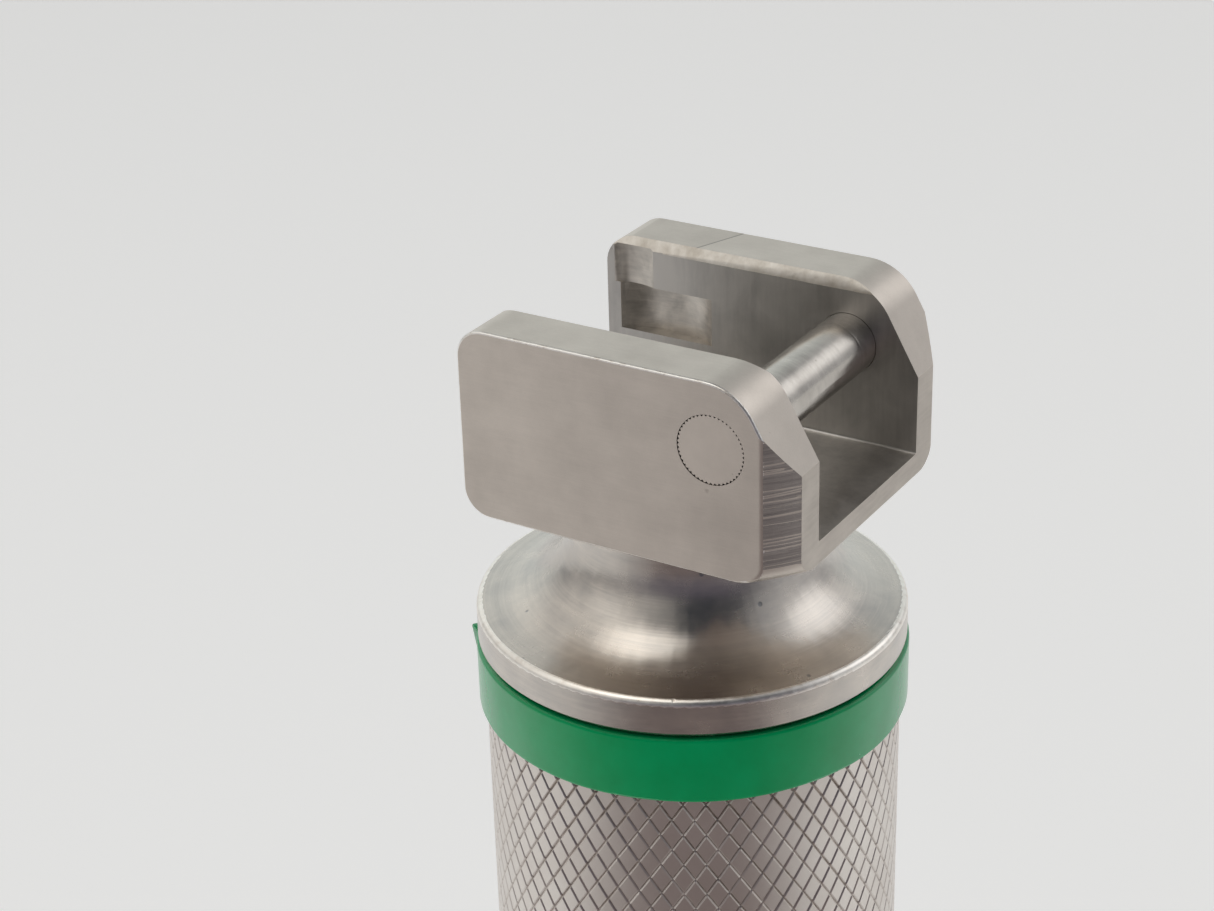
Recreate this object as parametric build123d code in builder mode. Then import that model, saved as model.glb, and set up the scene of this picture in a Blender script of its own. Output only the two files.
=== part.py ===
from build123d import *

import os
from math import radians, sqrt, tan

# Battery handle of a fibre-optic laryngoscope with a hook-on blade fitting.
# Millimetres. The origin is the centre of the base cap's underside, +Z runs up the handle,
# +X points to the side where the blade hooks on, and +Y runs along the hinge pin.
# Heights are measured from the base. Screw threads are plain cylinders at their crest radius.

# Heights along the handle
cap_height = 10.0  # joint between the base cap and the tube
lower_cell_z = 17.0  # underside of the lower cell
cell_height = 50.0
ring_z = 122.0  # underside of the colour ring, where the knurling ends
ring_height = 4.55
flange_z = ring_z + 4.70  # underside of the head's flange
flange_height = 2.64
block_z = ring_z + 15.65  # underside of the two cheeks
floor_z = ring_z + 17.37  # floor of the slot between the cheeks
top_z = ring_z + 28.54

# Gaps between pieces
press_gap = 0.02  # between pieces that are pressed together
seat_gap = 0.05  # between pieces that are stacked or screwed together
overrun = 1.0  # how far a cut runs past the surface it starts from

# Tube, ring and threads
tube_r = 14.0
tube_bore_r = 13.0
ring_seat_r = 13.7
ring_r = 14.5
ring_edge = 0.15
thread_r = 13.2
thread_gap = 0.1
thread_top = 7.6  # depth of the tube's upper thread
thread_base = 8.0  # depth of its lower thread
tube_top_z = flange_z - 0.6
lead_in = 0.2

# Head, seen from the side
rear_x = -10.18
front_x = 12.91
kink_z = ring_z + 22.76  # where the upright front meets the slope
slope = 60.5  # degrees from horizontal
front_top_r = 3.85
rear_top_r = 2.0
rear_bottom_r = 1.9
small_r = 0.3
head_width = 22.3
slot_width = 13.76
turned_r = 15.82  # the front corners are turned about the handle's axis
turned_fillet = 1.5
slot_corner_r = 0.2
slot_flare = 0.41
slot_flare_height = 0.71
edge_break = 0.15

# Neck and flange
neck_r = 7.8
cove_r = 6.2
cove_turn = 80  # degrees, leaving the flange's top face 10 degrees from flat
cove_top_z = flange_z + flange_height + 6.28  # where the cove starts, also its centre's height
flange_r = 14.38
flange_round = 0.45
flange_chamfer = 0.3
skirt_z = flange_z - 7.7

# Hinge pin and the blade's locking features
pin_x = 7.85
pin_z = ring_z + 24.18
pin_r = 2.05
pin_end_r = 2.26  # serrated end, pressed into the cheek on the -Y side
pin_end_bore_r = 2.28
pin_teeth = 48
pin_tooth = 0.16
pin_recess = 0.04
pocket_x = (-9.17, -2.15)
pocket_z = (ring_z + 21.9, ring_z + 25.22)
pocket_depth = 1.0
pocket_r = 4.0  # of the cutter that rounds both ends of the pocket
groove_x = -8.1  # run-in groove above the pocket
groove_r = 4.0
groove_depth = 0.3
groove_top_z = top_z - 0.55  # just under the slot's flared edge

# Bores through the head, from the bottom up
cavity_r = 10.5
sleeve_seat_z = ring_z + 3.6
sleeve_bore_r = 7.3
bush_seat_z = ring_z + 9.0
bush_bore_r = 5.6
bush_top_z = ring_z + 16.2
port_r = 3.1

# Lamp cartridge
travel = 1.2  # how far the plunger goes down
plunger_z = ring_z + 3.0
plunger_r = 4.5
plunger_flange_r = 6.3
plunger_flange = 1.2
plunger_tip_r = 3.0
plunger_round = 0.3
plunger_tip_z = floor_z + travel + 0.03
lamp_bore_r = 3.7
window_r = 2.2
window_z = ring_z + 14.7
window_recess = 0.1
window_round = 0.15
bush_gap = 0.06
sleeve_r = 7.2
sleeve_inner_r = 6.5
sleeve_z = ring_z - 2.9
sleeve_top_z = ring_z + 8.8
sleeve_wall = 1.3
sleeve_flange_r = 9.8
sleeve_flange = 1.7
nut_r = 10.4
nut_inner_r = 7.5
nut_height = 1.5
nut_slot = 1.6
stem_r = 1.6
stem_gap = 0.08
stem_head_r = 2.6
stem_head = 0.7
stem_round = 0.5
battery_top_z = lower_cell_z + 2 * cell_height
contact_gap = 0.05  # left between stem and battery when the plunger is pressed home

# Lamp
lamp_base_z = plunger_z + 0.6
lamp_cup_z = lamp_base_z + 3.4
lamp_cup = 1.4  # depth of the cup that the glass stands in
lamp_top_z = window_z - 0.3
bulb_r = 2.5
bulb_wall = 0.35
post_x = 0.9
post_r = 0.15
post_height = 4.0
filament_r = 0.28
filament_drop = 0.1  # from the posts' ends to the filament's middle
insulator_r = 2.6
insulator_drop = 0.1  # how far the insulator stands below the plunger
lamp_tip_r = 0.9
lamp_tip_drop = 0.7
lamp_tip_round = 0.4

# C cell
cell_r = 12.75
jacket = 0.22
jacket_end = 0.25  # how far the jacket stops short of the cell's underside
can_wall = 0.3  # at both ends
can_side = 0.95  # from the can's outside to the filling
can_z = 0.5  # underside of the can, above the cell's
can_base_round = 0.8
can_shoulder_round = 0.5
cell_shoulder = 46.95
washer_height = 0.4
washer_inner_r = 9.5
positive_r = 9.4
positive_plate = 0.6
nub_r = 3.1
nub_round = 0.6
negative_r = 9.0
negative_round = 0.2

# Springs
return_wire = 0.5
return_coil_r = 5.55
return_turns = 4.5
battery_wire = 1.1
battery_coil_r = 8.6
battery_turns = 5.5

# Base cap and seals
cap_floor = 5.0
cap_bore_r = 11.2
cap_spigot_z = lower_cell_z - 0.3
cap_chamfer = 0.9
cap_dish_r = 10.0
cap_dish = 0.5
coin_slot = (18.0, 2.2, 1.6)
plate_thickness = 0.5
plate_r = 10.6
plate_rim = 0.7  # height and thickness of the plate's raised rim
plate_round = 0.4
seal_wire = 0.8
seal_groove_height = 1.0
seal_groove_r = 12.4
seal_r = 12.85  # mean radius of both O-rings
seal_z = {"head_seal": tube_top_z - 0.4, "cap_seal": cap_height + 0.7}

os.makedirs("parts", exist_ok=True)

# Handle tube: battery tube, threaded at both ends, stepped in at the top for the colour ring
with BuildPart() as handle_tube:
    with BuildSketch(Plane.XY.offset(cap_height)):
        Circle(tube_r)
    extrude(amount=ring_z - cap_height)
    with BuildSketch(Plane.XY.offset(ring_z)):
        Circle(ring_seat_r)
    extrude(amount=tube_top_z - ring_z)
    with BuildSketch(Plane.XY.offset(cap_height)):
        Circle(tube_bore_r)
    extrude(amount=tube_top_z - cap_height, mode=Mode.SUBTRACT)
    for bottom, depth in ((cap_height, thread_base), (tube_top_z - thread_top, thread_top)):
        with BuildSketch(Plane.XY.offset(bottom)):
            Circle(thread_r + thread_gap)
        extrude(amount=depth, mode=Mode.SUBTRACT)
    chamfer(handle_tube.faces().sort_by(Axis.Z)[0].outer_wire().edges(), lead_in)
    chamfer(handle_tube.faces().sort_by(Axis.Z)[-1].outer_wire().edges(), lead_in)

# Colour ring: the green band that marks a fibre-optic handle
with BuildPart() as colour_ring:
    with BuildSketch(Plane.XY.offset(ring_z)):
        Circle(ring_r)
        Circle(ring_seat_r + press_gap, mode=Mode.SUBTRACT)
    extrude(amount=ring_height)
    fillet(colour_ring.edges().filter_by(GeomType.CIRCLE).group_by(SortBy.RADIUS)[-1], ring_edge)

# Block: the two cheeks and floor of the head, before they join the neck
slope_run = (top_z - kink_z) / tan(radians(slope))
with BuildPart() as block:
    with BuildSketch(Plane.XZ):
        with BuildLine():
            FilletPolyline(
                (rear_x, block_z),
                (front_x, block_z),
                (front_x, kink_z),
                (front_x - slope_run, top_z),
                (rear_x, top_z),
                radius=[rear_bottom_r, small_r, small_r, front_top_r, rear_top_r],
                close=True,
            )
        make_face()
    extrude(amount=head_width / 2, both=True)
    with BuildSketch(Plane.XZ):
        with BuildLine():
            FilletPolyline(
                (0, block_z),
                (turned_r, block_z),
                (turned_r, top_z),
                radius=turned_fillet,
            )
            Polyline((turned_r, top_z), (0, top_z), (0, block_z))
        make_face()
    revolve(axis=Axis.Z, mode=Mode.INTERSECT)
    for end in (0, -1):
        chamfer(block.faces().filter_by(Axis.Y).sort_by(Axis.Y)[end].outer_wire().edges(), edge_break)
    with BuildSketch(Plane.YZ):
        with BuildLine():
            half = slot_width / 2
            bottom = FilletPolyline(
                (-half, top_z - slot_flare_height),
                (-half, floor_z),
                (half, floor_z),
                (half, top_z - slot_flare_height),
                radius=slot_corner_r,
            )
            Polyline(
                bottom @ 1,
                (half + slot_flare, top_z),
                (half + slot_flare, top_z + overrun),
                (-half - slot_flare, top_z + overrun),
                (-half - slot_flare, top_z),
                bottom @ 0,
            )
        make_face()
    extrude(amount=2 * front_x, both=True, mode=Mode.SUBTRACT)

# Hook-on head: block, neck, flange and threaded skirt in one piece
with BuildPart() as hook_on_head:
    with BuildSketch(Plane.XZ):
        with BuildLine():
            cove = CenterArc((neck_r + cove_r, cove_top_z), cove_r, 180, cove_turn)
            rim = CenterArc(
                (flange_r - flange_round, flange_z + flange_height - flange_round),
                flange_round,
                0,
                90,
            )
            Line(cove @ 1, rim @ 1)
            Polyline(
                rim @ 0,
                (flange_r, flange_z + flange_chamfer),
                (flange_r - flange_chamfer, flange_z),
                (thread_r, flange_z),
                (thread_r, seal_z["head_seal"] + seal_groove_height / 2),
                (seal_groove_r, seal_z["head_seal"] + seal_groove_height / 2),
                (seal_groove_r, seal_z["head_seal"] - seal_groove_height / 2),
                (thread_r, seal_z["head_seal"] - seal_groove_height / 2),
                (thread_r, skirt_z + lead_in),
                (thread_r - lead_in, skirt_z),
                (0, skirt_z),
                (0, floor_z),
                (neck_r, floor_z),
                cove @ 0,
            )
        make_face()
    revolve(axis=Axis.Z)
    add(block.part)
    bores = (
        (cavity_r, skirt_z, sleeve_seat_z),
        (sleeve_bore_r, sleeve_seat_z, bush_seat_z),
        (bush_bore_r, bush_seat_z, bush_top_z),
        (port_r, bush_top_z, top_z),
    )
    for bore_r, bottom, top in bores:
        with BuildSketch(Plane.XY.offset(bottom)):
            Circle(bore_r)
        extrude(amount=top - bottom, mode=Mode.SUBTRACT)
    for bore_r, length in ((pin_r + press_gap, -head_width), (pin_end_bore_r, head_width)):
        with BuildSketch(Plane.XZ):
            with Locations((pin_x, pin_z)):
                Circle(bore_r)
        extrude(amount=length, mode=Mode.SUBTRACT)
    pocket_mid = (pocket_x[0] + pocket_x[1]) / 2
    pocket_y = slot_width / 2 + pocket_depth - pocket_r
    end_run = sqrt(pocket_r**2 - (pocket_r - pocket_depth) ** 2)
    with BuildSketch(Plane.XY.offset(pocket_z[0])):
        with Locations((pocket_mid, pocket_y), (pocket_mid, -pocket_y)):
            SlotCenterToCenter(pocket_x[1] - pocket_x[0] - 2 * end_run, 2 * pocket_r)
    extrude(amount=pocket_z[1] - pocket_z[0], mode=Mode.SUBTRACT)
    groove_y = slot_width / 2 + groove_depth - groove_r
    with BuildSketch(Plane.XY.offset(pocket_z[1])):
        with Locations((groove_x, groove_y), (groove_x, -groove_y)):
            Circle(groove_r)
    extrude(amount=groove_top_z - pocket_z[1], mode=Mode.SUBTRACT)

# Hinge pin: the blade hooks over the plain shaft, and the end in the -Y cheek is serrated
with BuildPart() as hinge_pin:
    cheek_y = slot_width / 2
    outer_y = head_width / 2 - pin_recess
    with BuildSketch(Plane.XZ.offset(-outer_y)):
        with Locations((pin_x, pin_z)):
            Circle(pin_r)
    extrude(amount=outer_y + cheek_y)
    chamfer(hinge_pin.faces().sort_by(Axis.Y)[-1].edges(), edge_break)
    with BuildSketch(Plane.XZ.offset(cheek_y)):
        with Locations((pin_x, pin_z)):
            Circle(pin_end_r)
            with PolarLocations(pin_end_r, pin_teeth):
                Rectangle(pin_tooth, pin_tooth, rotation=45, mode=Mode.SUBTRACT)
    extrude(amount=outer_y - cheek_y)

# Guide bush: brass bush that the lamp plunger slides in
with BuildPart() as guide_bush:
    with BuildSketch(Plane.XY.offset(bush_seat_z + seat_gap)):
        Circle(bush_bore_r - press_gap)
        Circle(plunger_r + bush_gap, mode=Mode.SUBTRACT)
    extrude(amount=bush_top_z - bush_seat_z - 2 * seat_gap)
    chamfer(guide_bush.edges().filter_by(GeomType.CIRCLE).group_by(SortBy.RADIUS)[0], lead_in)

# Lamp plunger: stepped ferrule whose tip stands out of the slot's floor
with BuildPart() as lamp_plunger:
    with BuildSketch(Plane.XZ):
        with BuildLine():
            FilletPolyline(
                (window_r + seat_gap, plunger_tip_z),
                (plunger_tip_r, plunger_tip_z),
                (plunger_tip_r, bush_top_z - seat_gap),
                radius=plunger_round,
            )
            Polyline(
                (plunger_tip_r, bush_top_z - seat_gap),
                (plunger_r, bush_top_z - seat_gap),
                (plunger_r, plunger_z + plunger_flange),
                (plunger_flange_r, plunger_z + plunger_flange),
                (plunger_flange_r, plunger_z),
                (lamp_bore_r, plunger_z),
                (lamp_bore_r, window_z - 2 * seat_gap),
                (window_r + seat_gap, window_z - 2 * seat_gap),
                (window_r + seat_gap, plunger_tip_z),
            )
        make_face()
    revolve(axis=Axis.Z)

# Light window: glass rod in the plunger's tip
with BuildPart() as light_window:
    with BuildSketch(Plane.XY.offset(window_z)):
        Circle(window_r)
    extrude(amount=plunger_tip_z - window_recess - window_z)
    fillet(light_window.edges().group_by(Axis.Z)[-1], window_round)

# Lamp: base, glass envelope, filament, insulator and centre tip
with BuildPart() as lamp_base:
    with BuildSketch(Plane.XY.offset(lamp_base_z)):
        Circle(lamp_bore_r - seat_gap)
    extrude(amount=lamp_cup_z + lamp_cup - lamp_base_z)
    with BuildSketch(Plane.XY.offset(lamp_cup_z)):
        Circle(bulb_r + seat_gap)
    extrude(amount=lamp_cup, mode=Mode.SUBTRACT)
    chamfer(lamp_base.edges().group_by(Axis.Z)[0], lead_in)

with BuildPart() as lamp_bulb:
    with BuildSketch(Plane.XZ):
        with BuildLine():
            dome_z = lamp_top_z - bulb_r
            outer = CenterArc((0, dome_z), bulb_r, 0, 90)
            inner = CenterArc((0, dome_z), bulb_r - bulb_wall, 0, 90)
            Line(outer @ 1, inner @ 1)
            Polyline(
                outer @ 0,
                (bulb_r, lamp_cup_z + seat_gap),
                (bulb_r - bulb_wall, lamp_cup_z + seat_gap),
                inner @ 0,
            )
        make_face()
    revolve(axis=Axis.Z)

with BuildPart() as lamp_filament:
    with BuildSketch(Plane.XY.offset(lamp_cup_z)):
        with Locations((post_x, 0), (-post_x, 0)):
            Circle(post_r)
    extrude(amount=post_height)
    with BuildSketch(Plane.YZ.offset(-post_x - 2 * post_r)):
        with Locations((0, lamp_cup_z + post_height - filament_drop)):
            Circle(filament_r)
    extrude(amount=2 * post_x + 4 * post_r)

with BuildPart() as lamp_insulator:
    with BuildSketch(Plane.XY.offset(plunger_z - insulator_drop)):
        Circle(insulator_r)
        Circle(lamp_tip_r + seat_gap, mode=Mode.SUBTRACT)
    extrude(amount=lamp_base_z - plunger_z + insulator_drop)

with BuildPart() as lamp_tip:
    with BuildSketch(Plane.XY.offset(plunger_z - lamp_tip_drop)):
        Circle(lamp_tip_r)
    extrude(amount=lamp_base_z - plunger_z + lamp_tip_drop)
    fillet(lamp_tip.edges().group_by(Axis.Z)[0], lamp_tip_round)

# Contact stem: carries the current from the battery to the lamp's tip once the plunger is down
with BuildPart() as contact_stem:
    stem_z = battery_top_z + travel + contact_gap
    head_z = plunger_z - lamp_tip_drop - seat_gap
    with BuildSketch(Plane.XY.offset(stem_z)):
        Circle(stem_r)
    extrude(amount=head_z - stem_z)
    with BuildSketch(Plane.XY.offset(head_z - stem_head)):
        Circle(stem_head_r)
    extrude(amount=stem_head)
    fillet(contact_stem.edges().group_by(Axis.Z)[0], stem_round)

# Cartridge sleeve: insulating cup, flanged so that the nut can clamp it
with BuildPart() as cartridge_sleeve:
    with BuildSketch(Plane.XY.offset(sleeve_z)):
        Circle(sleeve_r)
    extrude(amount=sleeve_top_z - sleeve_z)
    with BuildSketch(Plane.XY.offset(sleeve_seat_z - seat_gap - sleeve_flange)):
        Circle(sleeve_flange_r)
    extrude(amount=sleeve_flange)
    with BuildSketch(Plane.XY.offset(sleeve_z + sleeve_wall)):
        Circle(sleeve_inner_r)
    extrude(amount=sleeve_top_z - sleeve_z, mode=Mode.SUBTRACT)
    with BuildSketch(Plane.XY.offset(sleeve_z)):
        Circle(stem_r + stem_gap)
    extrude(amount=sleeve_wall, mode=Mode.SUBTRACT)

# Sleeve nut: threaded ring with two spanner slots
with BuildPart() as sleeve_nut:
    nut_top_z = sleeve_seat_z - 2 * seat_gap - sleeve_flange
    with BuildSketch(Plane.XY.offset(nut_top_z - nut_height)):
        Circle(nut_r)
        Circle(nut_inner_r, mode=Mode.SUBTRACT)
    extrude(amount=nut_height)
    with BuildSketch(Plane.XY.offset(nut_top_z - nut_height)):
        Rectangle(3 * nut_r, nut_slot)
    extrude(amount=nut_slot / 2, mode=Mode.SUBTRACT)

# Springs: plain coils, each between two flat seats
with BuildPart() as return_spring:
    start_z = sleeve_z + sleeve_wall + return_wire / 2 + seat_gap
    height = plunger_z - return_wire / 2 - seat_gap - start_z
    with BuildLine():
        coil = Helix(height / return_turns, height, return_coil_r, (0, 0, start_z))
    with BuildSketch(Plane(coil @ 0, z_dir=coil % 0)):
        Circle(return_wire / 2)
    sweep(is_frenet=True)

with BuildPart() as battery_spring:
    start_z = cap_floor + plate_thickness + battery_wire / 2 + 2 * seat_gap
    height = lower_cell_z - battery_wire / 2 - seat_gap - start_z
    with BuildLine():
        coil = Helix(height / battery_turns, height, battery_coil_r, (0, 0, start_z))
    with BuildSketch(Plane(coil @ 0, z_dir=coil % 0)):
        Circle(battery_wire / 2)
    sweep(is_frenet=True)

# Spring plate: pressed contact plate with a low rim that centres the spring
with BuildPart() as spring_plate:
    with BuildSketch(Plane.XY.offset(cap_floor + seat_gap)):
        Circle(plate_r)
    extrude(amount=plate_thickness + plate_rim)
    with BuildSketch(Plane.XY.offset(cap_floor + seat_gap + plate_thickness)):
        Circle(plate_r - plate_rim)
    extrude(amount=plate_rim, mode=Mode.SUBTRACT)
    fillet(spring_plate.edges().group_by(Axis.Z)[0], plate_round)

# Base cap: cup with a threaded spigot, a dished underside and a coin slot
with BuildPart() as end_cap:
    with BuildSketch(Plane.XY):
        Circle(tube_r)
    extrude(amount=cap_height)
    with BuildSketch(Plane.XY.offset(cap_height)):
        Circle(thread_r)
    extrude(amount=cap_spigot_z - cap_height)
    chamfer(end_cap.edges().group_by(Axis.Z)[0], cap_chamfer)
    chamfer(end_cap.edges().group_by(Axis.Z)[-1], lead_in)
    with BuildSketch(Plane.XY.offset(cap_floor)):
        Circle(cap_bore_r)
    extrude(amount=cap_spigot_z - cap_floor, mode=Mode.SUBTRACT)
    with BuildSketch(Plane.XY):
        Circle(cap_dish_r)
    extrude(amount=cap_dish, mode=Mode.SUBTRACT)
    with BuildSketch(Plane.XY.offset(cap_dish)):
        SlotOverall(coin_slot[0], coin_slot[1])
    extrude(amount=coin_slot[2], mode=Mode.SUBTRACT)
    with BuildSketch(Plane.XY.offset(seal_z["cap_seal"] - seal_groove_height / 2)):
        Circle(thread_r + overrun)
        Circle(seal_groove_r, mode=Mode.SUBTRACT)
    extrude(amount=seal_groove_height, mode=Mode.SUBTRACT)

# O-rings at both threads
for name, height in seal_z.items():
    with BuildPart() as seal:
        with BuildSketch(Plane.XZ):
            with Locations((seal_r, height)):
                Circle(seal_wire / 2)
        revolve(axis=Axis.Z)
    seal.part.label = name
    export_step(seal.part, f"parts/{name}.step")

# Two C cells, each a can with its filling, jacket, top washer and two terminals
for cell, base_z in (("lower_cell", lower_cell_z), ("upper_cell", lower_cell_z + cell_height)):
    shoulder_z = base_z + cell_shoulder
    can_r = cell_r - jacket - press_gap
    core_r = can_r - can_side
    with BuildPart() as can:
        with BuildSketch(Plane.XY.offset(base_z + can_z)):
            Circle(can_r)
        extrude(amount=cell_shoulder - can_z)
        fillet(can.edges().group_by(Axis.Z)[0], can_base_round)
        fillet(can.edges().group_by(Axis.Z)[-1], can_shoulder_round)
        with BuildSketch(Plane.XY.offset(base_z + can_z + can_wall)):
            Circle(core_r + seat_gap)
        extrude(amount=cell_shoulder - can_z - 2 * can_wall, mode=Mode.SUBTRACT)
        with BuildSketch(Plane.XY.offset(shoulder_z)):
            Circle(nub_r)
        extrude(amount=-2 * can_wall, mode=Mode.SUBTRACT)
    with BuildPart() as core:
        with BuildSketch(Plane.XY.offset(base_z + can_z + can_wall + seat_gap)):
            Circle(core_r)
        extrude(amount=cell_shoulder - can_z - 2 * can_wall - 2 * seat_gap)
    with BuildPart() as jacket_tube:
        with BuildSketch(Plane.XY.offset(base_z + jacket_end)):
            Circle(cell_r)
            Circle(cell_r - jacket, mode=Mode.SUBTRACT)
        extrude(amount=cell_shoulder + washer_height - jacket_end)
    with BuildPart() as washer:
        with BuildSketch(Plane.XY.offset(shoulder_z)):
            Circle(can_r - can_wall)
            Circle(washer_inner_r, mode=Mode.SUBTRACT)
        extrude(amount=washer_height)
    with BuildPart() as positive:
        with BuildSketch(Plane.XY.offset(shoulder_z)):
            Circle(positive_r)
        extrude(amount=positive_plate)
        with BuildSketch(Plane.XY.offset(shoulder_z + positive_plate)):
            Circle(nub_r)
        extrude(amount=cell_height - cell_shoulder - positive_plate - press_gap)
        fillet(positive.edges().group_by(Axis.Z)[-1], nub_round)
    with BuildPart() as negative:
        with BuildSketch(Plane.XY.offset(base_z)):
            Circle(negative_r)
        extrude(amount=can_z)
        fillet(negative.edges().group_by(Axis.Z)[0], negative_round)
    pieces = {
        "can": can,
        "core": core,
        "jacket": jacket_tube,
        "washer": washer,
        "positive": positive,
        "negative": negative,
    }
    for name, piece in pieces.items():
        piece.part.label = f"{cell}_{name}"
        export_step(piece.part, f"parts/{cell}_{name}.step")

single_pieces = {
    "handle_tube": handle_tube,
    "colour_ring": colour_ring,
    "hook_on_head": hook_on_head,
    "hinge_pin": hinge_pin,
    "guide_bush": guide_bush,
    "lamp_plunger": lamp_plunger,
    "light_window": light_window,
    "lamp_base": lamp_base,
    "lamp_bulb": lamp_bulb,
    "lamp_filament": lamp_filament,
    "lamp_insulator": lamp_insulator,
    "lamp_tip": lamp_tip,
    "contact_stem": contact_stem,
    "cartridge_sleeve": cartridge_sleeve,
    "sleeve_nut": sleeve_nut,
    "return_spring": return_spring,
    "battery_spring": battery_spring,
    "spring_plate": spring_plate,
    "end_cap": end_cap,
}
for name, piece in single_pieces.items():
    piece.part.label = name
    export_step(piece.part, f"parts/{name}.step")
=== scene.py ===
import math
import random

import bmesh
import bpy
from mathutils import Matrix, Vector


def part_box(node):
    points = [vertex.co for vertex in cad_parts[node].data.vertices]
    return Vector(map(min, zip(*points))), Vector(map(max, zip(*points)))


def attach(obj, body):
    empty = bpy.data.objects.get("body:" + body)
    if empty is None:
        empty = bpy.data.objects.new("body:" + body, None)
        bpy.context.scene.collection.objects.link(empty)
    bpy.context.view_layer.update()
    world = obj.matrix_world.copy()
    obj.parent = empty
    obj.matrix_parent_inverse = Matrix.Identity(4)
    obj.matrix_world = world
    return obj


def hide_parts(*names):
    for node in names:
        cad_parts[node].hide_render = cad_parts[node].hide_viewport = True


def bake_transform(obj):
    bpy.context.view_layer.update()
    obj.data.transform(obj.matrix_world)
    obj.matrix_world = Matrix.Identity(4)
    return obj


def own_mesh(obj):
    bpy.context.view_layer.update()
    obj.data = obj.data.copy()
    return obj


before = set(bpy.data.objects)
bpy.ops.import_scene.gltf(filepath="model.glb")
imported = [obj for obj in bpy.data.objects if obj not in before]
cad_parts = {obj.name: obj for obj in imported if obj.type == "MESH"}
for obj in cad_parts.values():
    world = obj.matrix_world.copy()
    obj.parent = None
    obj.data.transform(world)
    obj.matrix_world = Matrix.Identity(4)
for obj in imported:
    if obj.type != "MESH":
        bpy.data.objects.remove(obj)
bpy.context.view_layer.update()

MM = 0.001

# Places on the object, read from the frame
tube_low, tube_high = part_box("handle_tube")
ring_low, ring_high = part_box("colour_ring")
head_low, head_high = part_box("hook_on_head")
cap_low, cap_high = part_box("end_cap")
TUBE_R = tube_high.x
RING_R = ring_high.x
RING_H = ring_high.z - ring_low.z
HEAD_TOP = head_high.z
FLANGE_R = head_high.x

# Sizes that part.py gives the CAD solids and the frame doesn't list
HEAD_HALF = 11.15 * MM  # half the head's width over the cheeks
SLOT_HALF = 6.88 * MM  # half the slot's width
CORNER_R = 15.82 * MM  # the turned front corners
FLARE_H = 0.71 * MM
BLOCK_Z = HEAD_TOP - 12.89 * MM  # underside of the forked block
FLANGE_Z = HEAD_TOP - 23.84 * MM  # underside of the flange
POCKET_LOW = HEAD_TOP - 6.64 * MM
CELL_FOOT, CELL_PITCH = 17.0, 50.0  # in millimetres, as materials measure
THREAD_R = 13.2 * MM
THREAD_PITCH = 1.25 * MM

# Details that only the visual meshes have
KNURL_STARTS = 60
KNURL_PITCH = 2.27 * MM
KNURL_DEPTH = 0.1 * MM
KNURL_WORN = 0.88  # a groove's usual depth, as a share of KNURL_DEPTH
KNURL_UNEVEN = 0.12
KNURL_FRESH_DEPTH = 0.45  # how much deeper the least worn grooves are
KNURL_FRESH = 3.5 * MM  # length below the ring where the grooves are less worn
KNURL_EDGE = 0.09  # half a groove's width, as a share of the spacing
THREAD_ROOT = 12.6 * MM
THREAD_STEPS = 120
THREAD_FADE = 0.5 * MM
RING_SEAT_R = 13.72 * MM
RING_STEPS = 360
FLASH_TURN, FLASH_WIDTH = 209.0, 1.3  # the nib of flash, in degrees round the handle

# Details that only materials have, in millimetres
PIN_RING_Y = 4.9
SEAM_POINT = (-3.47, 7.20)
SEAM_ACROSS = (0.928, -0.373)
RUB_PLACE = (-5.9, HEAD_TOP / MM - 2.2)
CELL_BAND = (33.0, 44.0)
CELL_LINE = (31.9, 32.4)

# The dark card that the metal mirrors
CARD_AZIMUTH = -60
CARD_SPREAD = 97
CARD_ROWS = ((0.05, 0.0005), (0.12, 0.10), (0.15, 0.17))  # radius and height, in metres
CARD_STEPS = 48

# Distances under which points count as one, or as lying on a surface
WELD = 1e-7
CUT_WELD = 2e-7
TRIM_WELD = 1e-8
ON_WALL = 0.004 * MM
ON_ROUND = 0.002 * MM
FLAT_STEP = 0.01 * MM

# Shading
SOFTENED_ANGLE = 50
UPRIGHT = 0.05  # the steepest that an upright face's normal leans


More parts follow.
